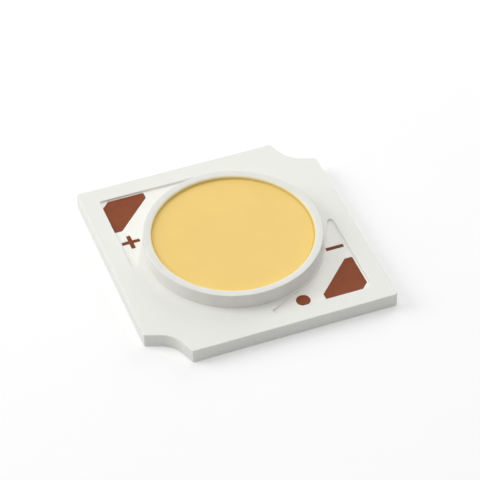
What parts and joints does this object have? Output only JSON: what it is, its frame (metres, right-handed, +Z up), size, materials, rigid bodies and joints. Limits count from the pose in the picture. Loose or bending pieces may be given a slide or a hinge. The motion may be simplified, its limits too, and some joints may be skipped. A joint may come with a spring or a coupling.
{
  "type": "cob led",
  "caption": "Square chip-on-board LED: white ceramic plate with notched corners, recessed solder pads and a round yellow phosphor field inside a raised white dam ring.",
  "frame": {"origin": "centre of the plate's underside, which is the face that goes on the heat sink", "axes": "+Z up, the way the light leaves; +X and +Y along the plate's sides, with the plus pad at the corner (-X, +Y), the minus pad at (+X, -Y) and the screw notches at (+X, +Y) and (-X, -Y)"},
  "size_m": [0.0136, 0.0136, 0.0017],
  "materials": {
    "white_ceramic": "matte fired alumina",
    "white_cover": "matte white",
    "white_mask": "matte white",
    "white_silicone": "satin white",
    "phosphor_silicone": "satin yellow",
    "copper_print": "dull copper",
    "led_die": "polished sapphire",
    "gold_wire": "bright gold"
  },
  "bodies": {
    "root": {"base_plate": "white_ceramic", "anode_conductor": "copper_print", "cathode_conductor": "copper_print", "plus_mark": "copper_print", "minus_mark": "copper_print", "case_spot": "copper_print", "mask_coat": "white_mask", "cover_layer": "white_cover", "dam_ring": "white_silicone", "phosphor_fill": "phosphor_silicone", "led_string_1": "led_die", "bond_wires_1": "gold_wire", "led_string_2": "led_die", "bond_wires_2": "gold_wire", "led_string_3": "led_die", "bond_wires_3": "gold_wire", "led_string_4": "led_die", "bond_wires_4": "gold_wire", "led_string_5": "led_die", "bond_wires_5": "gold_wire", "led_string_6": "led_die", "bond_wires_6": "gold_wire"}
  },
  "joints": []
}
